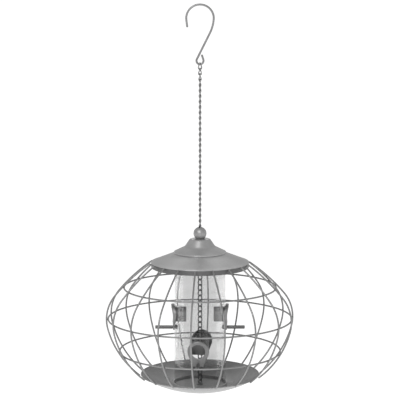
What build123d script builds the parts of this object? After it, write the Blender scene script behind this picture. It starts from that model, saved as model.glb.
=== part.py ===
from build123d import *
import math
import os

# Hanging caged seed feeder: a wire hook, a curb chain, a lid and a bead that slide on
# the chain, and a wire cage round a clear seed tube that stands in a dished tray.
# Millimetres, +Z up. The origin is the spot inside the hook's bend that rests on
# whatever the feeder hangs from, and the hook lies in the XZ plane. The front is -Y.

# ---- hook ----
HOOK_WIRE = 3.0
HOOK_ROOM_R = 18.1  # inside radius of the bend, the room for a branch or a bracket
HOOK_BEND_OVER = 5.0  # degrees that the bend runs on past level on the shank side
HOOK_TIP_OVER = 7.0  # and on the open side
HOOK_TIP = 10.5  # straight end of the open side
HOOK_SHANK_R = 54.0  # wide bend between the hook's bend and its straight shank
EYE_R = 5.0  # wire centre radius of the eye
EYE_DROP = 60.4  # from the centre of the bend to the centre of the eye
EYE_SWEEP = 224.0  # degrees that the eye turns through
EYE_TIP = 7.6  # straight end that closes the eye
WIRE_FLAT = 0.4  # flat left in the middle of a rounded wire end

# ---- chain ----
LINK_WIRE = 1.6
LINK_WIDTH = 5.3  # between wire centres, at the ends of a link
LINK_LENGTH = 9.52  # between wire centres
LINK_BELLY_R = 2.85  # from the chain's axis to the wire's centre half way down a link
LINK_CORNER = 2.25  # wire centre radius at the four corners of a link
LINK_SIDE_R = 6.0  # soft bend half way down each side
LINK_PLAY = 0.05  # between two links that bear on each other
LINKS = 59
LOOSE_LINKS = 4  # links at the hook that swing one by one
TURN_AT_HOOK = 90.0  # how far round the first link is turned
TURN_OUTSIDE = 135.0  # links between hook and bead
TURN_IN_TUBE = 225.0
TURN_STEP = 15.0  # most that one link turns against the next

# ---- anchor at the foot of the chain ----
RING_WIRE = 2.2
RING_R = 3.2  # wire centre radius
RING_SINK = 0.8  # how far the ring sinks into its collar
ANCHOR_COLLAR_D = 9.0
ANCHOR_COLLAR_H = 1.5
SHANK_D = 4.0
NUT_D = 8.0  # across the corners
NUT_H = 4.0
NUT_ROUND = 1.0
NUT_CAP = 1.0  # closed end of the nut
WASHER_D = 12.0
WASHER_H = 1.0

# ---- seed tube and its foot ----
TUBE_D = 76.0
TUBE_WALL = 1.5
TUBE_LENGTH = 180.0
FOOT_WALL = 1.6
FOOT_FLOOR = 2.5
FOOT_LIP = 4.5  # height of the lip that the tube stands in
FOOT_FIT = 0.1  # radial, between the tube and the lip
FOOT_EDGE = 0.5  # rounding of the lip

# ---- tray ----
TRAY_R = 87.0  # outside of the rim
TRAY_RISE = 19.8  # from the underside of the flat to the middle of the rolled rim
TRAY_BOWL_R = 162.0
TRAY_WALL = 1.0
TRAY_ROLL = 0.9  # radius of the rolled rim

# ---- cage ----
CAGE_WIRE = 2.5
CAGE_R = 136.5  # wire centre radius at the belly
CAGE_RISE = 99.6  # height of the belly above the foot of the tube
BELLY_R = 55.0  # radius of the tight bend at the belly
BELLY_UP = 40.0  # degrees of that bend above the belly
BELLY_DOWN = 15.0  # and below it
RIBS = 18
RIB_TURN = -95.3  # where the first rib stands, from +X
RIB_TOP_DROP = 0.1  # rib's end below the collar's top
RIB_RIM_DROP = 1.0  # rib's end below the middle of the rim
UPPER_RING_AT = 0.24  # place of the ring along the upper stretch of a rib
LOWER_RING_AT = 0.45  # place of the ring along the lower stretch of a rib
WELD_GAP = 0.03  # between wires that are spot welded to each other

# ---- collar round the top of the cage, and the plate that centres the tube in it ----
COLLAR_R = 71.0
COLLAR_WALL = 1.2
COLLAR_H = 6.5
COLLAR_ABOVE_TUBE = 1.8  # the collar stands this far above the tube's end
GUIDE_H = 1.0
GUIDE_FIT = 0.25  # radial, between the tube and the plate
GUIDE_DROP = 4.0  # top of the collar to the top of the plate

# ---- lid ----
LID_R = 71.6
LID_SHEET = 0.8
LID_SLOPE = 21.9  # degrees
LID_ROLL = 0.6  # radius of the rolled brim
LID_GAP = 0.3  # between the lid and the collar it sits on
CONE_HOLE_R = 30.0
CAP_R = 38.0
CAP_SLOPE = 26.0  # degrees
CAP_LIP = 1.5  # depth of the step where the cap ends
CAP_GAP = 0.05  # between the cap's lip and the cone
FLARE_R = 22.3  # radius where the cap flares up to its neck
FLARE_ROUND = 8.0
NECK_R = 14.6  # radius at the shoulder of the neck
NECK_ROUND = 4.5
NECK_RISE = 11.4  # from the flare to the flat top of the neck

# ---- bead ----
BEAD_D = 19.0
BEAD_SEAT_D = 12.0  # flat that the bead sits on
BEAD_GAP = 0.2  # between the bead and the lid
CHAIN_ROOM = 0.3  # radial room for the chain in the bead and the lid

# ---- seed ports ----
PORT_HOLE_R = 10.0
PORT_RIM = 5.7  # plate left round the hole
PORT_FOOT_W = 17.0
PORT_CORNER = 3.0
PORT_LEAN = 4.2  # degrees that the plate leans out at its top
PORT_STAND = 2.9  # plate's face beyond the tube at the level of the hole
PORT_GAP = 0.05  # between a plate and the tube
HOOD_DEPTH = 18.0  # how far the hood reaches into the tube
HOOD_WALL = 1.2
HOOD_SKIRT = 8.6  # from the middle of the hole down to the hood's open edge
HOOD_FIT = 0.3  # between the hood and its opening in the tube
UPPER_PORTS = (90.0, -90.0)  # turned from the front, seen from above
LOWER_PORTS = (-4.0, 176.0)

# ---- perches ----
PERCH_DROP = 19.2  # from the middle of a hole down to its perch
PERCH_MARGIN = 3.5  # plate left below the perch's centre
UPPER_PERCH_RISE = 86.1  # perch above the foot of the tube
LOWER_PERCH_RISE = 38.7
PERCH_D = 5.0
PERCH_REACH = 27.5  # beyond the tube
PERCH_ROUND = 0.6
PERCH_SHANK_D = 3.0
PERCH_FIT = 0.15  # radial, where the shank goes through plate and tube
PERCH_SEAT = 0.3  # between the perch's shoulder and the leaning plate
PERCH_NUT_D = 7.0
PERCH_NUT_H = 4.0
PERCH_NUT_CAP = 1.0  # closed end of the nut

# ---- heights and radii that follow from the sizes above ----
LINK_PITCH = LINK_LENGTH - LINK_WIRE - LINK_PLAY
LINK_ROOM_R = LINK_BELLY_R + LINK_WIRE / 2 + CHAIN_ROOM
EYE_Z = -HOOK_ROOM_R - EYE_DROP
CHAIN_TOP = EYE_Z - EYE_R + (HOOK_WIRE + LINK_WIRE) / 2 + LINK_PLAY
CHAIN_END = CHAIN_TOP - (LINKS - 1) * LINK_PITCH - LINK_LENGTH
RING_Z = CHAIN_END + (LINK_WIRE + RING_WIRE) / 2 + LINK_PLAY - RING_R
FOOT_Z = RING_Z - RING_R - RING_WIRE / 2 + RING_SINK - ANCHOR_COLLAR_H
TUBE_R = TUBE_D / 2
TUBE_IN_R = TUBE_R - TUBE_WALL
FOOT_R = TUBE_R + FOOT_FIT + FOOT_WALL
TRAY_FLOOR = FOOT_Z - FOOT_FLOOR
TRAY_BASE = TRAY_FLOOR - TRAY_WALL
RIM_R = TRAY_R - TRAY_ROLL
RIM_Z = TRAY_BASE + TRAY_RISE
BELLY_Z = FOOT_Z + CAGE_RISE
COLLAR_TOP = FOOT_Z + TUBE_LENGTH + COLLAR_ABOVE_TUBE
BRIM_Z = COLLAR_TOP + LID_GAP + LID_ROLL

os.makedirs("parts", exist_ok=True)


def finish(piece, name):
    """Label a finished piece and write it."""
    piece.part.label = name
    export_step(piece.part, f"parts/{name}.step")


def tan(degrees):
    return math.tan(math.radians(degrees))


def polar(radius, degrees, height=0.0):
    """A point by its distance from the axis, its direction and its height."""
    angle = math.radians(degrees)
    return Vector(radius * math.cos(angle), radius * math.sin(angle), height)


def across(path):
    """Plane square to a path at its start, for the section of a wire."""
    return Plane(origin=path @ 0, z_dir=path % 0)


def round_spot(middle, radius, degrees):
    """A point of a sketch on a circle round a middle point."""
    angle = math.radians(degrees)
    return (middle[0] + radius * math.cos(angle), middle[1] + radius * math.sin(angle))


# ---- hook ----
# One wire: open end, bend, wide shank bend, straight shank, eye, closing end. The
# straight shank touches both the shank bend and the eye, which turn opposite ways, so
# its slope follows from the two circles. Everything is drawn from the bend's centre.
bend_r = HOOK_ROOM_R + HOOK_WIRE / 2
bend_mid = (0, 0)
bend_from = 180 + HOOK_TIP_OVER
eye_mid = (0, -EYE_DROP)
shank_mid = round_spot(bend_mid, bend_r - HOOK_SHANK_R, -HOOK_BEND_OVER)
between = math.dist(shank_mid, eye_mid)
crossing = math.degrees(math.asin((HOOK_SHANK_R + EYE_R) / between))
sloping = math.degrees(math.atan2(eye_mid[1] - shank_mid[1], eye_mid[0] - shank_mid[0]))
shank_heading = sloping - crossing
shank_from = shank_heading + 90
eye_from = shank_heading - 90

bend_plane = Plane((0, 0, -HOOK_ROOM_R), x_dir=(1, 0, 0), z_dir=(0, -1, 0))

with BuildPart() as hook:
    with BuildLine(bend_plane) as hook_line:
        open_end = round_spot(bend_mid, bend_r, bend_from)
        Line(round_spot(open_end, HOOK_TIP, bend_from + 90), open_end)
        CenterArc(bend_mid, bend_r, bend_from, -bend_from - HOOK_BEND_OVER)
        CenterArc(shank_mid, HOOK_SHANK_R, -HOOK_BEND_OVER, shank_from + HOOK_BEND_OVER)
        Line(round_spot(shank_mid, HOOK_SHANK_R, shank_from), round_spot(eye_mid, EYE_R, eye_from))
        CenterArc(eye_mid, EYE_R, eye_from, EYE_SWEEP)
        eye_end = round_spot(eye_mid, EYE_R, eye_from + EYE_SWEEP)
        Line(eye_end, round_spot(eye_end, EYE_TIP, eye_from + EYE_SWEEP + 90))
    with BuildSketch(across(hook_line.wire())):
        Circle(HOOK_WIRE / 2)
    sweep(path=hook_line.wire())
    fillet(hook.faces().filter_by(GeomType.PLANE).edges(), HOOK_WIRE / 2 - WIRE_FLAT)
finish(hook, "hook")

# ---- lid heights that the chain's turn follows ----
cone_rise = tan(LID_SLOPE)
cone_skin = LID_SHEET / 2 / math.cos(math.radians(LID_SLOPE))
lip_in_r = CAP_R - LID_SHEET
lip_z = BRIM_Z + (LID_R - LID_ROLL - lip_in_r) * cone_rise + cone_skin + CAP_GAP
flare_z = lip_z + CAP_LIP + (CAP_R - FLARE_R) * tan(CAP_SLOPE)
neck_top = flare_z + NECK_RISE
links_outside = int((CHAIN_TOP - neck_top) / LINK_PITCH)


# ---- chain ----
def link_turn(k):
    """How far link k is turned about the chain: it moves in steps at the hook and in the lid."""
    at_hook = min(TURN_OUTSIDE, TURN_AT_HOOK + TURN_STEP * k)
    return min(TURN_IN_TUBE, at_hook + TURN_STEP * max(0, k - links_outside + 1))


def make_link(k):
    """One curb link, whose two ends are square to each other: half is swept, then turned over."""
    turn = link_turn(k)
    reach = LINK_WIDTH / 2
    top = CHAIN_TOP - k * LINK_PITCH
    low = top - LINK_LENGTH
    with BuildPart() as link:
        with BuildLine() as half:
            FilletPolyline(
                (0, 0, top),
                polar(reach, turn, top),
                polar(LINK_BELLY_R, turn - 45, (top + low) / 2),
                polar(reach, turn - 90, low),
                (0, 0, low),
                radius=(LINK_CORNER, LINK_SIDE_R, LINK_CORNER),
            )
        with BuildSketch(across(half.wire())):
            Circle(LINK_WIRE / 2)
        sweep(path=half.wire())
        add(link.part.rotate(Axis.Z, 180))
    return link


def make_run(first, last, name):
    """Links first to last - 1 as one piece of taut chain."""
    links = [make_link(k).part for k in range(first, last)]
    with BuildPart() as run:
        add(links)
    finish(run, name)


for k in range(LOOSE_LINKS):
    finish(make_link(k), f"chain_link_{k + 1}")
make_run(LOOSE_LINKS, links_outside, "chain_outside")
make_run(links_outside, LINKS, "chain_in_tube")

# ---- chain anchor: a ring on a collar and a threaded shank, with washer and nut ----
# The ring stands square to the lower end of the last link.
ring_turn = link_turn(LINKS - 1)
nut_top = TRAY_BASE - WASHER_H
with BuildPart() as chain_anchor:
    ring_axis = Axis((0, 0, RING_Z), polar(1, ring_turn + 90))
    with BuildSketch(Plane(origin=(0, 0, RING_Z), x_dir=polar(1, ring_turn), z_dir=(0, 0, 1))):
        with Locations((RING_R, 0)):
            Circle(RING_WIRE / 2)
    revolve(axis=ring_axis)
    with BuildSketch(Plane.XY.offset(FOOT_Z)):
        Circle(ANCHOR_COLLAR_D / 2)
    extrude(amount=ANCHOR_COLLAR_H)
    with BuildSketch(Plane.XY.offset(nut_top - NUT_H + NUT_CAP)):
        Circle(SHANK_D / 2)
    extrude(amount=FOOT_Z - nut_top + NUT_H - NUT_CAP)
finish(chain_anchor, "chain_anchor")

with BuildPart() as base_washer:
    with BuildSketch(Plane.XY.offset(nut_top)):
        Circle(WASHER_D / 2)
        Circle(SHANK_D / 2, mode=Mode.SUBTRACT)
    extrude(amount=WASHER_H)
finish(base_washer, "base_washer")

with BuildPart() as base_nut:
    with BuildSketch(Plane.XY.offset(nut_top)):
        RegularPolygon(NUT_D / 2, 6)
    extrude(amount=-NUT_H)
    fillet(base_nut.faces().sort_by(Axis.Z)[0].edges(), NUT_ROUND)
    with BuildSketch(Plane.XY.offset(nut_top)):
        Circle(SHANK_D / 2)
    extrude(amount=NUT_CAP - NUT_H, mode=Mode.SUBTRACT)
finish(base_nut, "base_nut")

# ---- tube foot: a shallow cup that the tube stands in ----
with BuildPart() as tube_foot:
    with BuildSketch(Plane.XY.offset(TRAY_FLOOR)):
        Circle(FOOT_R)
    extrude(amount=FOOT_FLOOR + FOOT_LIP)
    with BuildSketch(Plane.XY.offset(FOOT_Z)):
        Circle(FOOT_R - FOOT_WALL)
    extrude(amount=FOOT_LIP, mode=Mode.SUBTRACT)
    fillet(tube_foot.faces().sort_by(Axis.Z)[-1].edges(), FOOT_EDGE)
    with Locations((0, 0, FOOT_Z)):
        Hole(SHANK_D / 2)
finish(tube_foot, "tube_foot")

# ---- tray: flat middle, bowl side, rolled rim ----
with BuildPart() as tray:
    with BuildSketch(Plane.XZ):
        with BuildLine():
            Line((0, TRAY_BASE), (FOOT_R, TRAY_BASE))
            RadiusArc((FOOT_R, TRAY_BASE), (RIM_R, RIM_Z - TRAY_WALL / 2), -TRAY_BOWL_R)
            Line((RIM_R, RIM_Z - TRAY_WALL / 2), (RIM_R, RIM_Z + TRAY_WALL / 2))
            RadiusArc((RIM_R, RIM_Z + TRAY_WALL / 2), (FOOT_R, TRAY_FLOOR), TRAY_BOWL_R - TRAY_WALL)
            Line((FOOT_R, TRAY_FLOOR), (0, TRAY_FLOOR))
            Line((0, TRAY_FLOOR), (0, TRAY_BASE))
        make_face()
        with Locations((RIM_R, RIM_Z)):
            Circle(TRAY_ROLL)
    revolve(axis=Axis.Z)
    with Locations((0, 0, TRAY_FLOOR)):
        Hole(SHANK_D / 2)
finish(tray, "tray")


# ---- seed tube ----
def port_plane(turn, height):
    """Plane square to a port: origin on the tube's axis, X level, Y up, normal outward."""
    return Plane(origin=(0, 0, height), x_dir=polar(1, turn), z_dir=polar(1, turn - 90))


def arch(radius, skirt):
    """Round-topped opening or cover, its straight sides ending a skirt's length down."""
    Circle(radius)
    with Locations((0, -radius)):
        Rectangle(2 * radius, 2 * radius, mode=Mode.SUBTRACT)
    with Locations((0, -skirt / 2)):
        Rectangle(2 * radius, skirt)


PORTS = [(turn, FOOT_Z + UPPER_PERCH_RISE) for turn in UPPER_PORTS]
PORTS += [(turn, FOOT_Z + LOWER_PERCH_RISE) for turn in LOWER_PORTS]

with BuildPart() as seed_tube:
    with BuildSketch(Plane.XY.offset(FOOT_Z)):
        Circle(TUBE_R)
        Circle(TUBE_IN_R, mode=Mode.SUBTRACT)
    extrude(amount=TUBE_LENGTH)
    for turn, perch_z in PORTS:
        with BuildSketch(port_plane(turn, perch_z + PERCH_DROP)):
            arch(PORT_HOLE_R + HOOD_WALL + HOOD_FIT, PORT_HOLE_R + HOOD_FIT)
        extrude(amount=TUBE_D, mode=Mode.SUBTRACT)
        with BuildSketch(port_plane(turn, perch_z)):
            Circle(PERCH_SHANK_D / 2 + PERCH_FIT)
        extrude(amount=TUBE_D, mode=Mode.SUBTRACT)
finish(seed_tube, "seed_tube")


# ---- seed ports: a leaning plate on the tube and a hood inside it ----
def port_outline():
    """Round about the hole, narrowing to a foot below the perch."""
    foot_y = PERCH_MARGIN + PERCH_DROP - PORT_CORNER
    foot_x = PORT_FOOT_W / 2 - PORT_CORNER
    Circle(PORT_HOLE_R + PORT_RIM)
    with Locations((-foot_x, -foot_y), (foot_x, -foot_y)):
        Circle(PORT_CORNER)
    make_hull()


def make_port(turn, perch_z):
    hole_z = perch_z + PERCH_DROP
    outward = port_plane(turn, hole_z)
    lean = polar(math.sin(math.radians(PORT_LEAN)), turn - 90, math.cos(math.radians(PORT_LEAN)))
    with BuildPart() as port:
        with BuildSketch(outward):
            port_outline()
        extrude(amount=TUBE_D)
        with BuildSketch(Plane(origin=(0, 0, hole_z), z_dir=lean)):
            Circle(TUBE_R + PORT_STAND)
        extrude(amount=TUBE_D, both=True, mode=Mode.INTERSECT)
        with BuildSketch(Plane.XY.offset(hole_z)):
            Circle(TUBE_R + PORT_GAP)
        extrude(amount=TUBE_D, both=True, mode=Mode.SUBTRACT)
        with BuildSketch(outward.offset(TUBE_R - HOOD_DEPTH)):
            arch(PORT_HOLE_R + HOOD_WALL, HOOD_SKIRT)
        extrude(amount=HOOD_DEPTH + PORT_STAND / 2)
        with BuildSketch(outward.offset(TUBE_R - HOOD_DEPTH + HOOD_WALL)):
            arch(PORT_HOLE_R, HOOD_SKIRT)
        extrude(amount=HOOD_DEPTH - HOOD_WALL, mode=Mode.SUBTRACT)
        with BuildSketch(outward.offset(TUBE_R - TUBE_WALL)):
            Circle(PORT_HOLE_R)
        extrude(amount=TUBE_D, mode=Mode.SUBTRACT)
        with BuildSketch(port_plane(turn, perch_z)):
            Circle(PERCH_SHANK_D / 2 + PERCH_FIT)
        extrude(amount=TUBE_D, mode=Mode.SUBTRACT)
    return port


# ---- perches: a rod with a thinner shank through plate and tube, held by a cap nut ----
def make_perch(turn, perch_z):
    seat = TUBE_R + PORT_STAND - PERCH_DROP * tan(PORT_LEAN) + PERCH_SEAT
    outward = port_plane(turn, perch_z)
    shank_from = nut_face() - PERCH_NUT_H + PERCH_NUT_CAP
    with BuildPart() as perch:
        with BuildSketch(outward.offset(seat)):
            Circle(PERCH_D / 2)
        extrude(amount=TUBE_R + PERCH_REACH - seat)
        fillet(perch.edges(), PERCH_ROUND)
        with BuildSketch(outward.offset(shank_from)):
            Circle(PERCH_SHANK_D / 2)
        extrude(amount=seat - shank_from + PERCH_ROUND)
    return perch


def nut_face():
    """Distance from the axis to a flat nut that bears on the inside of the round tube."""
    return math.sqrt(TUBE_IN_R**2 - (PERCH_NUT_D / 2) ** 2)


def make_perch_nut(turn, perch_z):
    outward = port_plane(turn, perch_z)
    with BuildPart() as nut:
        with BuildSketch(outward.offset(nut_face() - PERCH_NUT_H)):
            Circle(PERCH_NUT_D / 2)
        extrude(amount=PERCH_NUT_H)
        inner_end = nut.faces().filter_by(GeomType.PLANE).sort_by(Axis((0, 0, 0), outward.z_dir))[0]
        fillet(inner_end.edges(), PERCH_NUT_D / 2 - PERCH_SHANK_D / 2)
        with BuildSketch(outward.offset(nut_face() - PERCH_NUT_H + PERCH_NUT_CAP)):
            Circle(PERCH_SHANK_D / 2)
        extrude(amount=PERCH_NUT_H - PERCH_NUT_CAP, mode=Mode.SUBTRACT)
    return nut


PORT_NAMES = ("upper_right", "upper_left", "lower_front", "lower_back")
for place, (turn, perch_z) in zip(PORT_NAMES, PORTS):
    finish(make_port(turn, perch_z), f"port_{place}")
    finish(make_perch(turn, perch_z), f"perch_{place}")
    finish(make_perch_nut(turn, perch_z), f"perch_nut_{place}")

# ---- cage: ribs from the collar round the belly to the tray, and three rings inside them ----
with BuildPart() as rib:
    with BuildLine(Plane.XZ) as rib_line:
        belly = CenterArc((CAGE_R - BELLY_R, BELLY_Z), BELLY_R, -BELLY_DOWN, BELLY_DOWN + BELLY_UP)
        rib_top = (COLLAR_R + CAGE_WIRE / 2 + WELD_GAP, COLLAR_TOP - RIB_TOP_DROP)
        rib_end = (TRAY_R + CAGE_WIRE / 2 + WELD_GAP, RIM_Z - RIB_RIM_DROP)
        upper = TangentArc(belly @ 1, rib_top, tangent=belly % 1)
        lower = TangentArc(belly @ 0, rib_end, tangent=(belly % 0) * -1)
    with BuildSketch(across(rib_line.wire())):
        Circle(CAGE_WIRE / 2)
    sweep(path=rib_line.wire())

with BuildPart() as cage_ribs:
    with PolarLocations(0, RIBS, start_angle=RIB_TURN):
        add(rib.part)
finish(cage_ribs, "cage_ribs")


def make_ring(at_rib, along, inward):
    """Round ring of wire that lies inside the ribs, square off the rib at one spot."""
    across = Vector(-along.Z, 0, along.X) * inward
    spot = at_rib + across * (CAGE_WIRE + WELD_GAP)
    with BuildPart() as ring:
        with BuildSketch(Plane.XZ):
            with Locations((spot.X, spot.Z)):
                Circle(CAGE_WIRE / 2)
        revolve(axis=Axis.Z)
    return ring


finish(make_ring(upper @ UPPER_RING_AT, upper % UPPER_RING_AT, 1), "cage_ring_upper")
finish(make_ring(Vector(CAGE_R, 0, BELLY_Z), Vector(0, 0, 1), 1), "cage_ring_middle")
finish(make_ring(lower @ LOWER_RING_AT, lower % LOWER_RING_AT, -1), "cage_ring_lower")

with BuildPart() as cage_collar:
    with BuildSketch(Plane.XY.offset(COLLAR_TOP - COLLAR_H)):
        Circle(COLLAR_R)
        Circle(COLLAR_R - COLLAR_WALL, mode=Mode.SUBTRACT)
    extrude(amount=COLLAR_H)
finish(cage_collar, "cage_collar")

with BuildPart() as tube_guide:
    with BuildSketch(Plane.XY.offset(COLLAR_TOP - GUIDE_DROP - GUIDE_H)):
        Circle(COLLAR_R - COLLAR_WALL)
        Circle(TUBE_R + GUIDE_FIT, mode=Mode.SUBTRACT)
    extrude(amount=GUIDE_H)
finish(tube_guide, "tube_guide")

# ---- lid: a cone with a rolled brim, and a cap that flares up to the neck ----
with BuildPart() as lid_cone:
    with BuildSketch(Plane.XZ):
        brim = (LID_R - LID_ROLL, BRIM_Z)
        crown = (CONE_HOLE_R, BRIM_Z + (LID_R - LID_ROLL - CONE_HOLE_R) * cone_rise)
        with BuildLine():
            Polyline(
                (brim[0], brim[1] - cone_skin),
                (brim[0], brim[1] + cone_skin),
                (crown[0], crown[1] + cone_skin),
                (crown[0], crown[1] - cone_skin),
                close=True,
            )
        make_face()
        with Locations(brim):
            Circle(LID_ROLL)
    revolve(axis=Axis.Z)
finish(lid_cone, "lid_cone")


def cap_outline(inset, sink):
    """Half section of the cap down to its lip, drawn in from the lip and sunk below the skin."""
    FilletPolyline(
        (0, lip_z),
        (CAP_R - inset, lip_z),
        (CAP_R - inset, lip_z + CAP_LIP - sink),
        (FLARE_R, flare_z - sink),
        (NECK_R, neck_top - sink),
        (0, neck_top - sink),
        radius=(0, 0, FLARE_ROUND, NECK_ROUND),
    )
    Line((0, neck_top - sink), (0, lip_z))


with BuildPart() as lid_cap:
    with BuildSketch(Plane.XZ):
        with BuildLine():
            cap_outline(0, 0)
        make_face()
        with BuildLine():
            cap_outline(LID_SHEET, LID_SHEET)
        make_face(mode=Mode.SUBTRACT)
    revolve(axis=Axis.Z)
    with Locations((0, 0, neck_top)):
        Hole(LINK_ROOM_R)
finish(lid_cap, "lid_cap")

# ---- bead: a ball with a flat seat, bored for the chain ----
seat_z = neck_top + BEAD_GAP
bead_mid = seat_z + math.sqrt((BEAD_D / 2) ** 2 - (BEAD_SEAT_D / 2) ** 2)
with BuildPart() as bead:
    with Locations((0, 0, bead_mid)):
        Sphere(BEAD_D / 2)
        Hole(LINK_ROOM_R)
    split(bisect_by=Plane.XY.offset(seat_z), keep=Keep.TOP)
finish(bead, "bead")
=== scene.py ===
# %% [markdown]
# # A hanging seed feeder in a wire cage
# The real feeder is a clear seed tube that stands in a round tray. A cage of bent wires
# keeps large birds off it, and a lid and a bead slide on the chain that it hangs from.
# An engineering model of it is loaded first. It fixes every size and every moving body,
# and the surfaces below are then drawn round it with a finer mesh and real finishes.

# %% Load the engineering frame
import math

import bmesh
import bpy
import numpy as np
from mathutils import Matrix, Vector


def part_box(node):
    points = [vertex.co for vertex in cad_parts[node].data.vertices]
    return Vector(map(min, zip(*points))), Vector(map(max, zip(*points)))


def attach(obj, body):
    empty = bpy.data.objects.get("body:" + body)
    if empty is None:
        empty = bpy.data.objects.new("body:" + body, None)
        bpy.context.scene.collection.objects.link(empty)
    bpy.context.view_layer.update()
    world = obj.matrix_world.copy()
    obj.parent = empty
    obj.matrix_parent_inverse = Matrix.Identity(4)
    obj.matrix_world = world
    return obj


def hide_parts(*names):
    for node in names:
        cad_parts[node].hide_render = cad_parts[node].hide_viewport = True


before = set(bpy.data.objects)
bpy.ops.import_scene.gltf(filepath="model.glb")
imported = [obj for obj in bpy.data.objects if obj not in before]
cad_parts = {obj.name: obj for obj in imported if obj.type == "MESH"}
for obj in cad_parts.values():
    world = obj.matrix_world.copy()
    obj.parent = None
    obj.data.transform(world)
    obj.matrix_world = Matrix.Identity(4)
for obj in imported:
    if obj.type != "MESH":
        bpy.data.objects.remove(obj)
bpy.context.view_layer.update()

print("nodes:", len(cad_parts))

# %% [markdown]
# ## Meshes from grids
# Almost every piece here is a wire or a turned shape. Both are a closed outline carried
# along a path, so both are a grid of points: one direction runs along the path and the
# other round the outline. One helper joins such a grid into four-sided faces, and another
# puts the grids of one piece into a single object. Working out all points at once as
# arrays keeps the formulas readable and the script quick.

# %% Join a grid of points into faces
MM = 0.001  # metres in a millimetre
CREASE = math.radians(35)  # a sharper edge than this is shaded as an edge
FACE_WEIGHT = 100  # as strong as this modifier lets large faces be


def grid_faces(rows, columns, wrap_rows):
    """Four-sided faces between neighbours of a grid whose columns always wrap round."""
    index = np.arange(rows * columns).reshape(rows, columns)
    if wrap_rows:
        index = np.vstack([index, index[:1]])
    ahead = np.roll(index, -1, axis=1)
    corners = (index[:-1], index[1:], ahead[1:], ahead[:-1])
    return np.stack(corners, axis=-1).reshape(-1, 4)


def grid(points, wrap_rows=False):
    """Points and faces of a grid; one that doesn't wrap gets a flat face at each end."""
    rows, columns = points.shape[:2]
    faces = grid_faces(rows, columns, wrap_rows).tolist()
    if not wrap_rows:
        faces.append(list(range(columns)))
        faces.append(list(range((rows - 1) * columns, rows * columns)))
    return points.reshape(-1, 3), faces


def join(grids):
    """Several grids as one: the faces of each count on from the points before them."""
    points, faces, start = [], [], 0
    for some_points, some_faces in grids:
        points.append(some_points)
        faces += [[corner + start for corner in face] for face in some_faces]
        start += len(some_points)
    return np.vstack(points), faces


def mesh_of(name, points, faces):
    """Mesh in metres from points in millimetres, faces outward, creased at sharp edges."""
    mesh = bpy.data.meshes.new(name)
    mesh.from_pydata((points * MM).tolist(), [], faces)
    shell = bmesh.new()
    shell.from_mesh(mesh)
    bmesh.ops.recalc_face_normals(shell, faces=shell.faces[:])
    shell.to_mesh(mesh)
    shell.free()
    mesh.polygons.foreach_set("use_smooth", np.ones(len(mesh.polygons), dtype=bool))
    mesh.set_sharp_from_angle(angle=CREASE)
    return mesh


def even_shading(piece):
    """Let large faces steer the shading, so that a flat wall beside a small arc stays flat."""
    smoothing = piece.modifiers.new("even_shading", "WEIGHTED_NORMAL")
    smoothing.keep_sharp = True
    smoothing.weight = FACE_WEIGHT


def show(name, grids, body, nodes, finish):
    """Make one piece of the object: its mesh, its finish, its body and what it stands for."""
    points, faces = join(grids)
    piece = bpy.data.objects.new(name, mesh_of(name, points, faces))
    bpy.context.scene.collection.objects.link(piece)
    piece.data.materials.append(finish)
    even_shading(piece)
    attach(piece, body)
    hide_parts(*nodes)
    low, high = points.min(axis=0), points.max(axis=0)
    print(name, "size in mm", np.round(high - low, 1), "faces", len(faces))
    return piece


# %% [markdown]
# ## Wires
# A wire is a circle carried square to its path. At each point of the path a side
# direction and an up direction are needed. They come from the path's own heading and a
# reference direction that never lines up with it, which is known for every wire here:
# the plane that a bent wire lies in, or the way from the middle of a link to its side.
# Cut ends of real wire are slightly rounded, so the circle shrinks over the last bit.

# %% Sweep a wire
WIRE_END = 0.45  # share of the wire's radius that its end is rounded by
WIRE_END_TURN = np.array([0.0, 0.3, 0.7, 1.0]) * np.pi / 2  # round a quarter circle


def unit(vectors):
    """Each vector divided by its length."""
    return vectors / np.linalg.norm(vectors, axis=-1, keepdims=True)


def round_section(path, heading, reference, radius, sides):
    """Circle about each path point: radius * (side * cos + up * sin), square to the heading."""
    side = unit(np.cross(heading, reference))
    up = np.cross(side, heading)
    turn = np.linspace(0, 2 * np.pi, sides, endpoint=False)
    across = side[:, None] * np.cos(turn)[:, None] + up[:, None] * np.sin(turn)[:, None]
    return path[:, None] + across * np.reshape(radius, (-1, 1, 1))


def open_wire(path, wire, reference, sides=14):
    """Wire with two ends: its radius falls to (1 - WIRE_END) of itself on a quarter circle."""
    radius = wire / 2
    lip = radius * WIRE_END
    heading = unit(np.gradient(path, axis=0))
    inward = lip * (1 - np.cos(WIRE_END_TURN))[:, None]
    start, stop = path[0] + inward * heading[0], path[-1] - inward[::-1] * heading[-1]
    inner = path[1:-1]
    thin = radius - lip * (1 - np.sin(WIRE_END_TURN))
    spots = np.vstack([start, inner, stop])
    ends = np.repeat(heading[[0, -1]], len(WIRE_END_TURN), axis=0)
    ways = np.vstack([ends[: len(thin)], heading[1:-1], ends[len(thin) :]])
    radii = np.concatenate([thin, np.full(len(inner), radius), thin[::-1]])
    return grid(round_section(spots, ways, reference, radii, sides))


def closed_wire(path, wire, reference, sides=12):
    """Wire that meets itself: headings are taken from the neighbours on both sides."""
    heading = unit(np.roll(path, -1, axis=0) - np.roll(path, 1, axis=0))
    radii = np.full(len(path), wire / 2)
    return grid(round_section(path, heading, reference, radii, sides), wrap_rows=True)


# %% Arcs in a plane
UP, AWAY = np.array([0.0, 0.0, 1.0]), np.array([0.0, 1.0, 0.0])


def arc(middle, radius, start, sweep, steps):
    """Points middle + radius * (cos, sin) of angles from start over sweep, in degrees."""
    angle = np.radians(np.linspace(start, start + sweep, steps))
    return np.array(middle) + radius * np.column_stack([np.cos(angle), np.sin(angle)])


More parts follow.
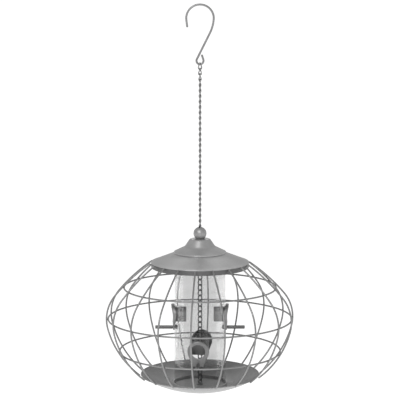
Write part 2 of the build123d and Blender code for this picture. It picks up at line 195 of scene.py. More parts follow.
def hoop(middle, radius, steps):
    """A whole circle: its last point stands one step short of its first."""
    return arc(middle, radius, 0, 360 - 360 / steps, steps)


def short_arc(middle, start, stop, steps):
    """The shorter way round a middle from start to stop, by the angles of the two."""
    first = np.degrees(np.arctan2(*(start - middle)[::-1]))
    last = np.degrees(np.arctan2(*(stop - middle)[::-1]))
    sweep = (last - first + 180) % 360 - 180
    return arc(middle, np.linalg.norm(start - middle), first, sweep, steps)


def tangent_arc(start, way, stop, steps):
    """Arc that leaves start along way and ends at stop: radius = chord² / (2 chord · normal)."""
    start, way, stop = np.array(start), unit(np.array(way)), np.array(stop)
    normal = np.array([-way[1], way[0]])
    chord = stop - start
    middle = start + normal * (chord @ chord / (2 * chord @ normal))
    return short_arc(middle, start, stop, steps)


def bow(start, stop, radius, steps):
    """Shallow arc between two points, its middle to the left: sqrt(radius² - chord² / 4) off."""
    start, stop = np.array(start), np.array(stop)
    chord = stop - start
    left = unit(np.array([-chord[1], chord[0]]))
    middle = (start + stop) / 2 + left * math.sqrt(radius**2 - chord @ chord / 4)
    return short_arc(middle, start, stop, steps)


def upright(flat, turn=0.0):
    """Points of a radius-height drawing stood up in the plane turned so far from +X."""
    angle = math.radians(turn)
    out = np.array([math.cos(angle), math.sin(angle), 0])
    return flat[:, :1] * out + flat[:, 1:] * UP


# %% [markdown]
# ## Turned shapes
# The lid, bead, tray, collar and tube are round about the chain. Each is a closed
# outline in the radius-height plane, spun round the axis. Sheet metal and moulded
# plastic never have knife edges, so the outline's corners are replaced by small arcs
# first. That rounding is what catches the light along a brim or a rim.

# %% Spin an outline
def rounded(corners, radii, steps=6):
    """Closed outline with each corner an arc, its middle radius / sin(half angle) away."""
    corners = np.array(corners, dtype=float)
    radii = np.broadcast_to(np.array(radii, dtype=float), len(corners))[:, None]
    before = unit(np.roll(corners, 1, axis=0) - corners)
    after = unit(np.roll(corners, -1, axis=0) - corners)
    half = np.arccos(np.sum(before * after, axis=1, keepdims=True)) / 2
    middle = corners + unit(before + after) * radii / np.sin(half)
    first = corners + before * radii / np.tan(half) - middle
    last = corners + after * radii / np.tan(half) - middle
    start = np.arctan2(first[:, 1], first[:, 0])
    sweep = (np.arctan2(last[:, 1], last[:, 0]) - start + np.pi) % (2 * np.pi) - np.pi
    angle = start[:, None] + sweep[:, None] * np.linspace(0, 1, steps)
    spots = np.stack([np.cos(angle), np.sin(angle)], axis=-1)
    return (middle[:, None] + radii[:, None] * spots).reshape(-1, 2)


def spin(outline, segments=144):
    """Outline (radius, height) turned about the vertical: (r cos, r sin, h) for each angle."""
    angle = np.linspace(0, 2 * np.pi, segments, endpoint=False)[:, None]
    radius, height = outline[:, 0], outline[:, 1]
    height = np.broadcast_to(height, (segments, len(outline)))
    points = np.stack([radius * np.cos(angle), radius * np.sin(angle), height], axis=-1)
    return grid(points, wrap_rows=True)


# %% [markdown]
# ## Finishes
# The feeder is painted one silvery grey all over. Paint on wire and pressed steel is
# never quite even: it has a fine grain like orange peel, slightly lighter and darker
# clouds a few centimetres across, and small changes in gloss. Each finish below mixes
# two tones with two sizes of noise, in the object's own coordinates, so that the pattern
# stays with its piece. Every number that is the same all over is set on the shader.

# %% Nodes that the finishes share
def node_finish(name):
    """New material, its nodes, its links and its shader."""
    made = bpy.data.materials.new(name)
    made.use_nodes = True
    nodes = made.node_tree.nodes
    return made, nodes, made.node_tree.links, nodes["Principled BSDF"]


def noise(nodes, links, place, size, detail, warp=0.0):
    """Noise whose blotches are about size millimetres across."""
    made = nodes.new("ShaderNodeTexNoise")
    made.inputs["Scale"].default_value = 1 / (size * MM)
    made.inputs["Detail"].default_value = detail
    made.inputs["Distortion"].default_value = warp
    links.new(place, made.inputs["Vector"])
    return made.outputs["Fac"]


def spread(nodes, links, value, low, high, low_in=0.3, high_in=0.7):
    """Stretch a noise between two results."""
    made = nodes.new("ShaderNodeMapRange")
    made.inputs["From Min"].default_value = low_in
    made.inputs["From Max"].default_value = high_in
    made.inputs["To Min"].default_value = low
    made.inputs["To Max"].default_value = high
    links.new(value, made.inputs["Value"])
    return made.outputs["Result"]


def tones(nodes, links, share, dark, light):
    """Colour between two tones by a share from 0 to 1."""
    made = nodes.new("ShaderNodeMix")
    made.data_type = "RGBA"
    made.inputs["A"].default_value = (*dark, 1)
    made.inputs["B"].default_value = (*light, 1)
    links.new(share, made.inputs["Factor"])
    return made.outputs["Result"]


def low_bump(nodes, links, height, relief, strength):
    """Surface relief of so many millimetres from a noise."""
    made = nodes.new("ShaderNodeBump")
    made.inputs["Strength"].default_value = strength
    made.inputs["Distance"].default_value = relief * MM
    links.new(height, made.inputs["Height"])
    return made.outputs["Normal"]


# %% A painted or plated metal finish
GRAIN_SHARE, CLOUD_SHARE = 0.55, 0.45  # of the step from the dark tone to the light one
COAT_GLOSS = 0.08


def metal_finish(name, dark, light, metal, gloss, grain, relief, cloud=30.0, coat=0.0):
    """Two tones mixed by clouds and grain, roughness in the range gloss, a bump of relief mm."""
    made, nodes, links, shader = node_finish(name)
    place = nodes.new("ShaderNodeTexCoord").outputs["Object"]
    clouds = noise(nodes, links, place, cloud, 3.0, 0.4)
    grains = noise(nodes, links, place, grain, 2.0)
    both = nodes.new("ShaderNodeMath")
    both.operation = "MULTIPLY_ADD"
    both.inputs[1].default_value = GRAIN_SHARE
    links.new(grains, both.inputs[0])
    links.new(spread(nodes, links, clouds, 0.0, CLOUD_SHARE), both.inputs[2])
    links.new(tones(nodes, links, both.outputs[0], dark, light), shader.inputs["Base Color"])
    links.new(spread(nodes, links, clouds, *gloss), shader.inputs["Roughness"])
    links.new(low_bump(nodes, links, grains, relief, 0.6), shader.inputs["Normal"])
    shader.inputs["Metallic"].default_value = metal
    shader.inputs["Coat Weight"].default_value = coat
    shader.inputs["Coat Roughness"].default_value = COAT_GLOSS
    return made


def grey(value):
    """Even grey of a linear value."""
    return (value, value, value)


wire_paint = metal_finish("wire_paint", grey(0.17), grey(0.3), 0.45, (0.34, 0.46), 1.4, 0.05)
chain_steel = metal_finish("chain_steel", grey(0.15), grey(0.32), 0.8, (0.34, 0.5), 1.0, 0.04)
# Darker copy of chain_steel: painted shade for the chain seen inside the tube.
chain_painted_shade = metal_finish("chain_painted_shade", grey(0.04), grey(0.1), 0.6, (0.4, 0.55), 1.0, 0.04)
bolt_steel = metal_finish("bolt_steel", grey(0.2), grey(0.36), 0.9, (0.3, 0.45), 1.2, 0.03)
lid_paint = metal_finish("lid_paint", grey(0.34), grey(0.5), 0.7, (0.3, 0.4), 2.2, 0.06)
collar_paint = metal_finish("collar_paint", grey(0.08), grey(0.16), 0.45, (0.3, 0.44), 2.0, 0.05)
tray_paint = metal_finish(
    "tray_paint", grey(0.16), grey(0.27), 0.2, (0.24, 0.36), 3.0, 0.05, cloud=45.0, coat=0.1
)
port_paint = metal_finish("port_paint", grey(0.13), grey(0.3), 0.5, (0.32, 0.5), 2.6, 0.25)
perch_paint = metal_finish("perch_paint", grey(0.09), grey(0.18), 0.5, (0.32, 0.46), 1.6, 0.06)
foot_plastic = metal_finish("foot_plastic", grey(0.3), grey(0.42), 0.0, (0.35, 0.5), 1.8, 0.05)
print("finishes:", len(bpy.data.materials))

# %% [markdown]
# ## Clear plastic
# The tube is an extruded clear plastic. Each of its surfaces is mostly open to straight
# light, and the rest is a clear solid that bends and mirrors what is behind and before it.
# The open share matters, because a solid clear wall would keep the lamps' light off
# everything inside the tube. Faint vertical drawing lines from the extruder and a light
# haze of handling keep it from looking perfect, so one noise is stretched along the tube.

# %% The tube's plastic
BENDING = 1.45  # how strongly the plastic bends light
SOLID_SHARE = 0.2  # of each surface; the rest lets light straight through
LINE_STRETCH, HAZE_TINT = 0.03, 0.9


def clear_finish(name, tint):
    """Clear plastic: tint and roughness vary with a haze, a low bump with stretched lines."""
    made, nodes, links, shader = node_finish(name)
    place = nodes.new("ShaderNodeTexCoord").outputs["Object"]
    stretch = nodes.new("ShaderNodeMapping")
    stretch.inputs["Scale"].default_value = (1, 1, LINE_STRETCH)
    links.new(place, stretch.inputs["Vector"])
    lines = noise(nodes, links, stretch.outputs["Vector"], 3.0, 2.0)
    haze = noise(nodes, links, place, 40.0, 3.0, 0.5)
    hazy = tuple(HAZE_TINT * part for part in tint)
    links.new(
        tones(nodes, links, spread(nodes, links, haze, 0.0, 1.0), hazy, tint),
        shader.inputs["Base Color"],
    )
    links.new(spread(nodes, links, haze, 0.0, 0.012), shader.inputs["Roughness"])
    links.new(low_bump(nodes, links, lines, 0.004, 0.1), shader.inputs["Normal"])
    shader.inputs["Transmission Weight"].default_value = 1.0
    shader.inputs["IOR"].default_value = BENDING
    shader.inputs["Alpha"].default_value = SOLID_SHARE
    return made


tube_plastic = clear_finish("tube_plastic", (0.08, 0.081, 0.081))

# %% [markdown]
# ## The hook
# The hook is one bent wire: an open end, a round bend that sits on a branch, a wide bend
# into a straight shank, and a small eye that holds the chain. The straight shank touches
# the wide bend and the eye on opposite sides, so its slope follows from those two
# circles. The path is drawn flat, as arcs and lines, and the wire is swept along it.

# %% Hook
HOOK_WIRE = 3.0
BEND_R = 19.6
BEND_MID = (0.0, -18.1)
EYE_MID = (0.0, -78.5)
EYE_R = 5.0
WIDE_R = 54.0
BEND_OVER, TIP_OVER, TIP = 5.0, 7.0, 10.5
EYE_SWEEP, EYE_TIP = 224.0, 7.6


def spot(middle, radius, degrees):
    """Point on a circle."""
    return arc(middle, radius, degrees, 0, 1)[0]


def hook_path():
    """Open end, bend, wide bend, shank, eye and closing end, one after the other."""
    wide_mid = spot(BEND_MID, BEND_R - WIDE_R, -BEND_OVER)
    gap = np.array(EYE_MID) - wide_mid
    crossing = math.degrees(math.asin((WIDE_R + EYE_R) / np.linalg.norm(gap)))
    heading = math.degrees(math.atan2(gap[1], gap[0])) - crossing
    first = spot(BEND_MID, BEND_R, 180 + TIP_OVER)
    tip = spot(first, TIP, 180 + TIP_OVER + 90)
    last = spot(EYE_MID, EYE_R, heading - 90 + EYE_SWEEP)
    end = spot(last, EYE_TIP, heading + EYE_SWEEP)
    bend = arc(BEND_MID, BEND_R, 180 + TIP_OVER, -180 - TIP_OVER - BEND_OVER, 60)
    wide = arc(wide_mid, WIDE_R, -BEND_OVER, heading + 90 + BEND_OVER, 24)
    eye = arc(EYE_MID, EYE_R, heading - 90, EYE_SWEEP, 40)
    straight = np.linspace(tip, first, 6)[:-1]
    shank = np.linspace(wide[-1], eye[0], 12)[1:-1]
    closing = np.linspace(last, end, 5)[1:]
    return np.vstack([straight, bend, wide[1:], shank, eye, closing])


hook_wire = open_wire(upright(hook_path()), HOOK_WIRE, AWAY, sides=20)
show("hook_wire", [hook_wire], "hook", ["hook"], wire_paint)

# %% [markdown]
# ## The chain
# A curb chain's links are rounded oblongs with a quarter turn of twist, so that each lies
# flat against the next. One link is the curve of a superellipse in width and height,
# with the width turned about the chain's axis in step with the height. The two ends then
# stand square to each other, and the next link's top passes through at the right angle.
# The links above the lid and those in the tube are turned to different sides, and in
# between each link is turned a little against the last. Only the link in the hook's eye
# moves by itself. The chain in the tube gets a darker copy of the same steel, which is
# painted shade for the dimmer light inside the tube.

# %% Links
LINK_WIRE, LINK_WIDE, LINK_LONG, LINK_PITCH = 1.6, 5.3, 9.52, 7.87
CHAIN_TOP = -81.15
LINKS, OUTSIDE = 59, 32
TURNS = {"at_hook": 90.0, "outside": 135.0, "in_tube": 225.0, "step": 15.0}
LINK_SQUARE = 2 / 3.2  # power of the superellipse


def link_turn(k):
    """Turn of link k: steps at the hook and again where the chain enters the lid."""
    at_hook = min(TURNS["outside"], TURNS["at_hook"] + TURNS["step"] * k)
    return min(TURNS["in_tube"], at_hook + TURNS["step"] * max(0, k - OUTSIDE + 1))


def link(k, steps=36):
    """Twisted superellipse: width w = W cos^p, height h = H sin^p, w turned a quarter by h."""
    t = np.linspace(0, 2 * np.pi, steps, endpoint=False) + np.pi / steps
    wide = LINK_WIDE / 2 * np.sign(np.cos(t)) * np.abs(np.cos(t)) ** LINK_SQUARE
    high = LINK_LONG / 2 * np.sign(np.sin(t)) * np.abs(np.sin(t)) ** LINK_SQUARE
    turn = np.radians(link_turn(k) - 45 + 90 * high / LINK_LONG)
    middle = CHAIN_TOP - k * LINK_PITCH - LINK_LONG / 2
    path = np.column_stack([wide * np.cos(turn), wide * np.sin(turn), high + middle])
    square = math.radians(link_turn(k) + 45)
    facing = np.array([math.cos(square), math.sin(square), 0])
    return closed_wire(path, LINK_WIRE, facing, sides=9)


show("chain_link_at_hook", [link(0)], "link_1", ["chain_link_1"], chain_steel)
above_lid = ["chain_link_2", "chain_link_3", "chain_link_4", "chain_outside"]
outside = [link(k) for k in range(1, OUTSIDE)]
show("chain_above_lid", outside, "feeder", above_lid, chain_steel)
# The links inside the tube get the painted-shade copy of the chain's steel.
inside = [link(k) for k in range(OUTSIDE, LINKS)]
show("chain_inside_tube", inside, "feeder", ["chain_in_tube"], chain_painted_shade)

# %% [markdown]
# ## Anchor, foot and tray
# The chain ends in a ring on a shank that clamps tray and tube foot together from below.
# The foot is a shallow cup of grey plastic. The tray is pressed from sheet: a flat
# middle, a bowl side and a rim that is rolled over a full circle. The rolled rim is
# drawn as most of a circle on the end of the sheet, in one outline with it.

# %% Ring and shank
FOOT_Z = -553.38
RING_Z, RING_R, RING_WIRE = -548.38, 3.2, 2.2
TRAY_BASE = FOOT_Z - 3.5
SEAT_OF_RING, SEAT_HIGH = 4.5, 1.5
SHANK_R, SHANK_LOW, SHANK_HOLE = 2.0, -560.8, 2.05
ring_turn = math.radians(link_turn(LINKS - 1))
ring_face = np.array([-math.sin(ring_turn), math.cos(ring_turn), 0])
ring_flat = hoop((0, RING_Z), RING_R, 48)
ring_path = upright(ring_flat, math.degrees(ring_turn))
anchor_ring = closed_wire(ring_path, RING_WIRE, ring_face)


def pin(inside, radius, low, high, rounding):
    """Outline of a short bar with a hair-fine bore, so that its spun faces close cleanly."""
    return rounded([(inside, low), (radius, low), (radius, high), (inside, high)], rounding)


collar_outline = pin(0.6, SEAT_OF_RING, FOOT_Z, FOOT_Z + SEAT_HIGH, [0.1, 0.2, 0.4, 0.1])
shank_outline = pin(0.3, SHANK_R, SHANK_LOW, FOOT_Z + 0.5, [0.1, 0.5, 0.1, 0.1])
anchor_parts = [anchor_ring, spin(collar_outline, 48), spin(shank_outline, 36)]
show("anchor_ring", anchor_parts, "feeder", ["chain_anchor"], bolt_steel)

# %% Tube foot
FOOT_R, FOOT_WALL, FOOT_RIM = 39.7, 1.6, 4.5
foot_low = TRAY_BASE + 1.02
foot_corners = [
    (SHANK_HOLE, foot_low),
    (FOOT_R, foot_low),
    (FOOT_R, FOOT_Z + FOOT_RIM),
    (FOOT_R - FOOT_WALL, FOOT_Z + FOOT_RIM),
    (FOOT_R - FOOT_WALL, FOOT_Z),
    (SHANK_HOLE, FOOT_Z),
]
foot_cup = spin(rounded(foot_corners, [0.2, 0.6, 0.6, 0.6, 0.4, 0.2]))
show("foot_cup", [foot_cup], "feeder", ["tube_foot"], foot_plastic)

# %% Tray
RIM_R, RIM_Z, RIM_ROLL, SHEET = 86.1, -537.08, 0.9, 1.0
BOWL_R = 162.0


def tray_outline():
    """Underside out to the rim, round the roll, and back along the inside of the bowl."""
    under = bow((FOOT_R, TRAY_BASE), (RIM_R, RIM_Z - SHEET / 2), BOWL_R, 40)
    over = bow((FOOT_R, TRAY_BASE + SHEET), (RIM_R, RIM_Z + SHEET / 2), BOWL_R - SHEET, 40)[::-1]
    roll = arc((RIM_R, RIM_Z), RIM_ROLL, -75, 245, 22)
    flat_under = np.array([(radius, TRAY_BASE) for radius in (SHANK_HOLE, 20.0, 36.0)])
    flat_over = flat_under[::-1] + np.array([0, SHEET])
    return np.vstack([flat_under, under[:-1], roll, over[1:], flat_over])


tray_dish = spin(tray_outline(), 192)
show("tray_dish", [tray_dish], "feeder", ["tray"], tray_paint)

# %% [markdown]
# ## The seed tube
# The tube's wall is one spun outline. Four arched openings and four small holes are cut
# through it with a Boolean, as a cutter would in the workshop, because the openings'
# edges then follow the round wall exactly. The cutters are arch-shaped bars pointing out
# from the axis. They are used once, and the tube keeps only the finished mesh.

# %% Places of the ports
TUBE_R, TUBE_WALL, TUBE_LONG = 38.0, 1.5, 180.0
PORTS = {
    "upper_right": (90.0, FOOT_Z + 86.1),
    "upper_left": (-90.0, FOOT_Z + 86.1),
    "lower_front": (-4.0, FOOT_Z + 38.7),
    "lower_back": (176.0, FOOT_Z + 38.7),
}
PERCH_DROP = 19.2
HOLE_R, PERCH_HOLE_R = 10.0, 1.65
ARCH_ROOM, ARCH_SKIRT = 1.5, 10.3
CUT_DEPTHS = (25.0, 50.0)  # from inside the tube to outside it


def from_port(points, turn, height):
    """Points (sideways, up, outward) of a port set at its turn and height on the tube."""
    angle = math.radians(turn)
    sideways = np.array([math.cos(angle), math.sin(angle), 0])
    outward = np.array([math.sin(angle), -math.cos(angle), 0])
    along = points[..., 0:1] * sideways + points[..., 1:2] * UP
    return along + points[..., 2:3] * outward + height * UP


def arch_path(radius, skirt, steps):
    """Up one side, half a circle over the top and down the other side."""
    rise = np.linspace(-skirt, 0, 4)[:-1]
    left = np.column_stack([np.full(3, -radius), rise])
    right = np.column_stack([np.full(3, radius), rise[::-1]])
    return np.vstack([left, arc((0, 0), radius, 180, -180, steps), right])


def bar(outline, near, far):
    """A flat outline carried outward from near to far, with a face at each end."""
    ends = [np.column_stack([outline, np.full(len(outline), depth)]) for depth in (near, far)]
    return np.stack(ends)


# %% Cut the tube
def cut_tube():
    """Spun wall less the arches and the perch holes."""
    low, high = FOOT_Z, FOOT_Z + TUBE_LONG
    inner = TUBE_R - TUBE_WALL
    wall = np.array([(TUBE_R, low), (TUBE_R, high), (inner, high), (inner, low)])
    whole = bpy.data.objects.new("whole_tube", mesh_of("whole_tube", *spin(wall, 160)))
    cutters = []
    for turn, perch_z in PORTS.values():
        arch = bar(arch_path(HOLE_R + ARCH_ROOM, ARCH_SKIRT, 24), *CUT_DEPTHS)
        shank = bar(hoop((0, 0), PERCH_HOLE_R, 24), *CUT_DEPTHS)
        cutters.append(grid(from_port(arch, turn, perch_z + PERCH_DROP)))
        cutters.append(grid(from_port(shank, turn, perch_z)))
    cutter = bpy.data.objects.new("tube_cutter", mesh_of("tube_cutter", *join(cutters)))
    for thing in (whole, cutter):
        bpy.context.scene.collection.objects.link(thing)
    cut = whole.modifiers.new("openings", "BOOLEAN")
    cut.operation, cut.solver, cut.object = "DIFFERENCE", "EXACT", cutter
    shaped = whole.evaluated_get(bpy.context.evaluated_depsgraph_get())
    mesh = bpy.data.meshes.new_from_object(shaped)
    for thing in (whole, cutter):
        bpy.data.objects.remove(thing)
    mesh.set_sharp_from_angle(angle=CREASE)
    return mesh


clear_tube = bpy.data.objects.new("clear_tube", cut_tube())
bpy.context.scene.collection.objects.link(clear_tube)
clear_tube.data.materials.clear()
clear_tube.data.materials.append(tube_plastic)
even_shading(clear_tube)
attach(clear_tube, "feeder")
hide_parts("seed_tube")
print("clear_tube faces", len(clear_tube.data.polygons))

# %% [markdown]
# ## Seed ports
# A port is a cast plate that leans out a little at its top, with a hood behind it that
# stops the seed from running out. The plate's outline is a big circle about the hole and
# two small ones at its foot, joined by their common tangents. Its surface is a section
# carried once round the hole: up the edge of the hole, over a raised bead, across the
# face and down the rounded outer edge, then back along the tube.

# %% Port plate
PLATE_R, PLATE_FOOT, FOOT_CORNER = 15.7, (5.5, -19.7), 3.0
PLATE_STAND, PLATE_LEAN = 2.9, math.tan(math.radians(4.2))
PLATE_ROOM = 0.05  # between plate and tube


def plate_outline(steps=120):
    """Outline by the angle its edge faces, foot circle or big circle, spread evenly."""
    distance = math.hypot(*PLATE_FOOT)
    swing = math.degrees(math.acos((PLATE_R - FOOT_CORNER) / distance))
    tangent = math.degrees(math.atan2(PLATE_FOOT[1], PLATE_FOOT[0])) + swing
    right = arc(PLATE_FOOT, FOOT_CORNER, -90, tangent + 90, 12)
    top = arc((0, 0), PLATE_R, tangent, 180 - 2 * tangent, 80)
    left = arc((-PLATE_FOOT[0], PLATE_FOOT[1]), FOOT_CORNER, 180 - tangent, tangent + 90, 12)
    walk = np.vstack([right, top, left, right[:1]])
    length = np.concatenate([[0], np.cumsum(np.linalg.norm(np.diff(walk, axis=0), axis=1))])
    even = np.linspace(0, length[-1], steps, endpoint=False)
    return np.column_stack([np.interp(even, length, walk[:, i]) for i in (0, 1)])


# Each row: share of the way from hole to outline, millimetres beyond it, side (0 is the
# tube, 1 the face), and millimetres above that side.
PLATE_SECTION = np.array(
    [
        (0.0, 0.0, 0, 0.0),
        (0.0, 0.0, 1, -0.7),
        (0.0, 0.2, 1, -0.2),
        (0.0, 0.7, 1, 0.12),
        (0.0, 1.3, 1, 0.22),
        (0.0, 1.9, 1, 0.12),
        (0.0, 2.4, 1, 0.0),
        (0.5, 0.6, 1, 0.0),
        (1.0, -1.9, 1, 0.0),
        (1.0, -1.5, 1, 0.2),
        (1.0, -0.9, 1, 0.2),
        (1.0, -0.25, 1, -0.2),
        (1.0, 0.0, 1, -0.8),
        (1.0, 0.0, 0, 0.0),
        (0.5, 0.0, 0, 0.0),
    ]
)


def port_plate(turn, height):
    """Section carried round the hole; depth is the leaning face or the tube's own round."""
    outer = plate_outline()
    facing = np.arctan2(outer[:, 1], outer[:, 0])
    hole = HOLE_R * np.column_stack([np.cos(facing), np.sin(facing)])
    reach = np.linalg.norm(outer - hole, axis=1)[:, None]
    share, beyond, side, lift = PLATE_SECTION.T
    flat = hole[:, None] + unit(outer - hole)[:, None] * (share * reach + beyond)[..., None]
    across, up = flat[..., 0], flat[..., 1]
    face = np.sqrt((TUBE_R + PLATE_STAND) ** 2 - across**2) + up * PLATE_LEAN
    seat = np.sqrt((TUBE_R + PLATE_ROOM) ** 2 - across**2)
    depth = np.where(side == 1, face, seat) + lift
    return grid(from_port(np.dstack([flat, depth]), turn, height), wrap_rows=True)


# %% [markdown]
# The hood is an arch of sheet with a flat back, open below so that seed can come up to
# the hole. Going from the front edge of its outer skin to the back, in to one point,
# and out again along the inner skin closes the whole hood with one grid.

# %% Port hood
HOOD_BACK, HOOD_FRONT, HOOD_WALL, HOOD_SKIRT = 20.0, 38.5, 1.2, 8.6
HOOD_ROUND = 0.972  # how far the bent edge of the back pulls in


def port_hood(turn, height):
    """Outer arch to the back, in to the middle of the open edge, and out on the inner arch."""
    outer = arch_path(HOLE_R + HOOD_WALL, HOOD_SKIRT, 36)
    inner = arch_path(HOLE_R, HOOD_SKIRT, 36)
    middle = np.zeros_like(outer) + np.array([0, -HOOD_SKIRT])
    inside = HOOD_BACK + HOOD_WALL
    rows = [
        (outer, HOOD_FRONT),
        (outer, HOOD_BACK + 0.5),
        (outer * HOOD_ROUND, HOOD_BACK),
        (outer * 0.5 + middle * 0.5, HOOD_BACK),
        (outer * 0.05 + middle * 0.95, HOOD_BACK),
        (inner * 0.05 + middle * 0.95, inside),
        (inner * 0.5 + middle * 0.5, inside),
        (inner, inside),
        (inner, HOOD_FRONT),
    ]
    sheet = np.stack([np.column_stack([flat, np.full(len(flat), far)]) for flat, far in rows])
    return grid(from_port(sheet.transpose(1, 0, 2), turn, height))


for place, (turn, perch_z) in PORTS.items():
    hole_z = perch_z + PERCH_DROP
    parts = [port_plate(turn, hole_z), port_hood(turn, hole_z)]
    show(f"seed_port_{place}", parts, "feeder", [f"port_{place}"], port_paint)

# %% [markdown]
# ## Perches
# Each perch is a turned rod with a thinner shank that goes through the plate and the
# tube into a small cap nut. It is spun about its own axis and then laid outward.

# %% Perch rods
PERCH_D, SHANK_D = 5.0, 3.0
PERCH_IN, PERCH_OUT, PERCH_ROOM = 33.5, 65.5, 0.3
CORE = 0.05  # radius of the hair-fine bore that keeps the spun ends closed


def perch_rod(turn, height):
    """Rod and shank as one outline spun about the port's outward direction."""
    seat = TUBE_R + PLATE_STAND - PERCH_DROP * PLATE_LEAN + PERCH_ROOM
    corners = [(CORE, PERCH_IN), (SHANK_D / 2, PERCH_IN), (SHANK_D / 2, seat)]
    corners += [(PERCH_D / 2, seat), (PERCH_D / 2, PERCH_OUT), (CORE, PERCH_OUT)]
    outline = rounded(corners, [0.02, 0.3, 0.05, 0.5, 0.9, 0.02])
    points, faces = spin(outline, 36)
    return from_port(points, turn, height), faces


for place, (turn, perch_z) in PORTS.items():
    rod = [perch_rod(turn, perch_z)]
    show(f"perch_rod_{place}", rod, "feeder", [f"perch_{place}"], perch_paint)

# %% [markdown]
# ## The cage
# A rib is one wire: a tight bend at the belly with a long soft arc above and below it.
# The two soft arcs leave the belly in its own direction and end at the collar and at
# the tray's rim, which is enough to fix them. All ribs are the same path turned about
# the axis. The three rings lie inside them. Their sizes and heights are read off the
# frame, so they bear on the ribs just where the engineering model has them, a hair off.

# %% Ribs
CAGE_WIRE, CAGE_R, BELLY_R = 2.5, 136.5, 55.0
BELLY_Z = FOOT_Z + 99.6
BELLY_DOWN, BELLY_UP = 15.0, 40.0
COLLAR_R, COLLAR_TOP = 71.0, FOOT_Z + TUBE_LONG + 1.8
RIBS, RIB_TURN = 18, -95.3
RIB_OUT = CAGE_WIRE / 2 + 0.03  # a rib's middle stands so far off what it ends on


def rib_path():
    """Lower arc, belly and upper arc of a rib, from the rim up to the collar."""
    belly = arc((CAGE_R - BELLY_R, BELLY_Z), BELLY_R, -BELLY_DOWN, BELLY_DOWN + BELLY_UP, 26)
    down, up = math.radians(-BELLY_DOWN), math.radians(BELLY_UP)
    below = (math.sin(down), -math.cos(down))
    above = (-math.sin(up), math.cos(up))
    rib_end = (RIM_R + RIM_ROLL + RIB_OUT, RIM_Z - 1.0)
    rib_top = (COLLAR_R + RIB_OUT, COLLAR_TOP - 0.1)
    lower = tangent_arc(belly[0], below, rib_end, 26)[::-1]
    upper = tangent_arc(belly[-1], above, rib_top, 30)
    return np.vstack([lower[:-1], belly, upper[1:]])


def rib(turn):
    """The rib's wire stood up at its turn."""
    angle = math.radians(turn)
    flat_of_rib = np.array([-math.sin(angle), math.cos(angle), 0])
    return open_wire(upright(rib_path(), turn), CAGE_WIRE, flat_of_rib, sides=12)


ribs = [rib(RIB_TURN + k * 360 / RIBS) for k in range(RIBS)]
show("cage_rib_wires", ribs, "feeder", ["cage_ribs"], wire_paint)

# %% Rings
RING_STEPS = 192

for level in ("upper", "middle", "lower"):
    low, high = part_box(f"cage_ring_{level}")
    ring_r = high[0] / MM - CAGE_WIRE / 2
    ring_z = (low[2] + high[2]) / 2 / MM
    flat_ring = hoop((0, 0), ring_r, RING_STEPS)
    ring_path = np.column_stack([flat_ring, np.full(RING_STEPS, ring_z)])
    ring_wire = [closed_wire(ring_path, CAGE_WIRE, UP)]
    show(f"ring_wire_{level}", ring_wire, "feeder", [f"cage_ring_{level}"], wire_paint)

# %% Collar and guide plate
COLLAR_WALL, COLLAR_H = 1.2, 6.5
GUIDE_R, GUIDE_DROP, GUIDE_SHEET, GUIDE_HOLE = 69.75, 4.0, 1.0, TUBE_R + 0.25
band = [
    (COLLAR_R, COLLAR_TOP - COLLAR_H),
    (COLLAR_R, COLLAR_TOP),
    (COLLAR_R - COLLAR_WALL, COLLAR_TOP),
    (COLLAR_R - COLLAR_WALL, COLLAR_TOP - COLLAR_H),
]
collar_band = [spin(rounded(band, 0.35), 192)]
show("collar_band", collar_band, "feeder", ["cage_collar"], collar_paint)
guide_top = COLLAR_TOP - GUIDE_DROP
guide = [
    (GUIDE_R, guide_top - GUIDE_SHEET),
    (GUIDE_R, guide_top),
    (GUIDE_HOLE, guide_top),
    (GUIDE_HOLE, guide_top - GUIDE_SHEET),
]
guide_plate = [spin(rounded(guide, 0.25))]
show("guide_plate", guide_plate, "feeder", ["tube_guide"], collar_paint)

# %% [markdown]
# ## Lid and bead
# The lid is two pressings: a wide cone with a rolled brim, and a cap on top of it that
# ends in a small step and flares up into the neck that the chain comes out of. Each is
# a band of sheet of even thickness. The bead is a ball bored for the chain, with a flat
# ground on its underside so that it stays put on the neck.

# %% Lid cone
LID_R, LID_ROLL, SHEET_LID = 71.6, 0.6, 0.8
BRIM_Z = COLLAR_TOP + 0.3 + LID_ROLL
CONE_SLOPE = math.radians(21.9)
CONE_RISE = math.tan(CONE_SLOPE)
CONE_SKIN = SHEET_LID / 2 / math.cos(CONE_SLOPE)
CROWN_R = 30.0  # where the cone's sheet ends under the cap


def cone_outline():
    """Rolled brim, up the outside of the sheet, over its inner edge and down the inside."""
    brim = np.array([LID_R - LID_ROLL, BRIM_Z])
    crown = np.array([CROWN_R, BRIM_Z + (brim[0] - CROWN_R) * CONE_RISE])
    skin = np.array([0, CONE_SKIN])
    rise = np.linspace(brim, crown, 14)[1:]
    roll = arc(brim, LID_ROLL, -100, 180, 18)
    return np.vstack([roll, rise + skin, rise[::-1] - skin])


show("lid_cone_sheet", [spin(cone_outline(), 192)], "lid", ["lid_cone"], lid_paint)

# %% Lid cap
CAP_R, CAP_LIP, FLARE_R, NECK_R = 38.0, 1.5, 22.3, 14.6
LIP_Z = BRIM_Z + (LID_R - LID_ROLL - CAP_R + SHEET_LID) * CONE_RISE + CONE_SKIN + 0.05
CAP_RISE = math.tan(math.radians(26.0))
FLARE_Z = LIP_Z + CAP_LIP + (CAP_R - FLARE_R) * CAP_RISE
NECK_TOP = FLARE_Z + 11.4
CHAIN_HOLE = 3.95
cap_corners = [
    (CAP_R, LIP_Z),
    (CAP_R, LIP_Z + CAP_LIP),
    (FLARE_R, FLARE_Z),
    (NECK_R, NECK_TOP),
    (CHAIN_HOLE, NECK_TOP),
    (CHAIN_HOLE, NECK_TOP - SHEET_LID),
    (NECK_R - 0.5, NECK_TOP - SHEET_LID),
    (FLARE_R - 0.6, FLARE_Z - SHEET_LID),
    (CAP_R - SHEET_LID, LIP_Z + CAP_LIP - SHEET_LID / 2),
    (CAP_R - SHEET_LID, LIP_Z),
]
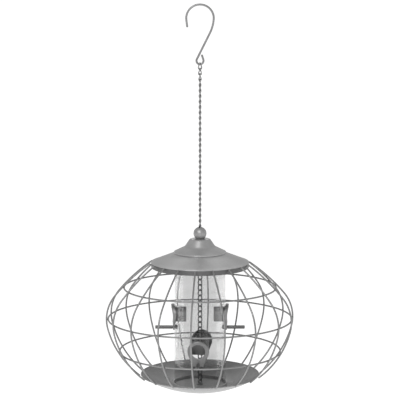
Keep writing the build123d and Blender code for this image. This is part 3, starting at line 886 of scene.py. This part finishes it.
cap_rounding = [0.25, 0.6, 8.0, 4.5, 0.3, 0.3, 3.9, 8.6, 0.2, 0.25]
lid_cap_sheet = [spin(rounded(cap_corners, cap_rounding, 12), 160)]
show("lid_cap_sheet", lid_cap_sheet, "lid", ["lid_cap"], lid_paint)

# %% Bead
BEAD_R, SEAT_R = 9.5, 6.0
seat_z = NECK_TOP + 0.2
bead_mid = seat_z + math.sqrt(BEAD_R**2 - SEAT_R**2)
bead_low = -math.degrees(math.acos(SEAT_R / BEAD_R))
bead_high = math.degrees(math.acos(CHAIN_HOLE / BEAD_R))
ball = arc((0, bead_mid), BEAD_R, bead_low, bead_high - bead_low, 48)
bore = np.array([(CHAIN_HOLE, z) for z in (bead_mid + 3, bead_mid, seat_z)])
bead_ball = [spin(np.vstack([ball, bore]), 72)]
bead_steel = metal_finish(
    "bead_steel", grey(0.24), grey(0.42), 0.6, (0.44, 0.54), 1.6, 0.03, cloud=12.0
)
show("bead_ball", bead_ball, "bead", ["bead"], bead_steel)

# %% [markdown]
# ## The small parts that stay as engineered
# The washer, the closed nut under the tray and the perches' cap nuts are simple and small,
# so the engineering model's own solids are shown. They only need their finish.

# %% Finish of the small parts
for name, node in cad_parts.items():
    if "nut" in name or "washer" in name:
        node.data.materials.clear()
        node.data.materials.append(bolt_steel)
        print("kept as engineered:", name)

# %% [markdown]
# ## Floor, light and camera
# The feeder hangs in a bright white room. A very large pale floor lies well below it and
# glows a little, so that it fills a view from above with plain white. The world round it
# is a soft white at a strength of a half. One big lamp high in front and to the left
# shapes the lid and the wires, a weak one fills from the right, and one high behind draws
# light edges along the wires. The long lens stands well back and looks slightly down.

# %% Floor
FLOOR_Z, FLOOR_R = -1.35, 90.0
floor_mesh = bpy.data.meshes.new("pale_floor")
sides_of_floor = ((-1, -1), (1, -1), (1, 1), (-1, 1))
floor_corners = [(x * FLOOR_R, y * FLOOR_R, FLOOR_Z) for x, y in sides_of_floor]
floor_mesh.from_pydata(floor_corners, [], [(0, 1, 2, 3)])
pale_floor = bpy.data.objects.new("pale_floor", floor_mesh)
bpy.context.scene.collection.objects.link(pale_floor)
floor_paint, _, _, floor_shader = node_finish("floor_paint")
floor_shader.inputs["Base Color"].default_value = (0.85, 0.85, 0.85, 1)
floor_shader.inputs["Roughness"].default_value = 0.9
floor_shader.inputs["Emission Color"].default_value = (1, 1, 1, 1)
floor_shader.inputs["Emission Strength"].default_value = 0.65
floor_mesh.materials.append(floor_paint)

# %% World and lamps
world = bpy.data.worlds.new("white_room")
world.use_nodes = True
sky = world.node_tree.nodes["Background"]
sky.inputs["Color"].default_value = (1, 1, 1, 1)
sky.inputs["Strength"].default_value = 0.5
bpy.context.scene.world = world


def lamp(name, place, aim, size, power):
    """Square soft lamp at place, in metres, turned to face aim."""
    light = bpy.data.lights.new(name, "AREA")
    light.size, light.energy = size, power
    made = bpy.data.objects.new(name, light)
    made.location = place
    way = Vector(aim) - Vector(place)
    made.rotation_euler = way.to_track_quat("-Z", "Y").to_euler()
    bpy.context.scene.collection.objects.link(made)


FEEDER_MID = (0, 0, -0.42)
lamp("key_lamp", (-0.7, -2.2, 1.3), FEEDER_MID, 1.0, 42)
lamp("fill_lamp", (2.2, -1.5, 0.4), FEEDER_MID, 1.5, 3)
lamp("edge_lamp", (0.0, 2.4, 1.3), FEEDER_MID, 1.0, 7)

# %% Camera
lens = bpy.data.cameras.new("camera")
lens.lens, lens.sensor_width = 153.0, 36.0
lens.clip_end = 500.0
camera = bpy.data.objects.new("camera", lens)
camera.location = (0, -2.4346, 0.0712)
camera.rotation_euler = (math.radians(90 - 8.2), 0, 0)
bpy.context.scene.collection.objects.link(camera)
bpy.context.scene.camera = camera
bpy.context.scene.view_settings.view_transform = "Standard"
